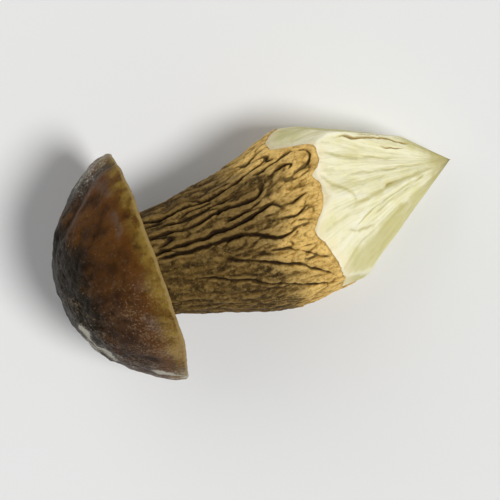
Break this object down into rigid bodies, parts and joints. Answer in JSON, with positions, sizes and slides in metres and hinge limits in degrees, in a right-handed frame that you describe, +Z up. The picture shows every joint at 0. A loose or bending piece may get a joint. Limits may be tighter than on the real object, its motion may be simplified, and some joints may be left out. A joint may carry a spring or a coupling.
{
  "type": "dried termite mushroom",
  "caption": "Small dried mushroom lying on its side: thick domed cap, stout wrinkled stem that swells towards the foot, and a foot whittled to a pale point.",
  "frame": {"origin": "on the surface it lies on, under the middle of the whole body", "axes": "+X from the cap towards the whittled foot, +Z up from the surface it lies on"},
  "size_m": [0.0554, 0.0318, 0.0306],
  "materials": {
    "stem_skin": "dry, wrinkled, matte, grey brown to ochre",
    "cap_skin": "dry, leathery, dark brown with an olive gold margin and a pale bloom",
    "gill_flesh": "dry, matte, thin pale blades",
    "cut_flesh": "dry, fibrous, cream, matte"
  },
  "bodies": {
    "root": {"mushroom": "stem_skin"}
  },
  "joints": []
}
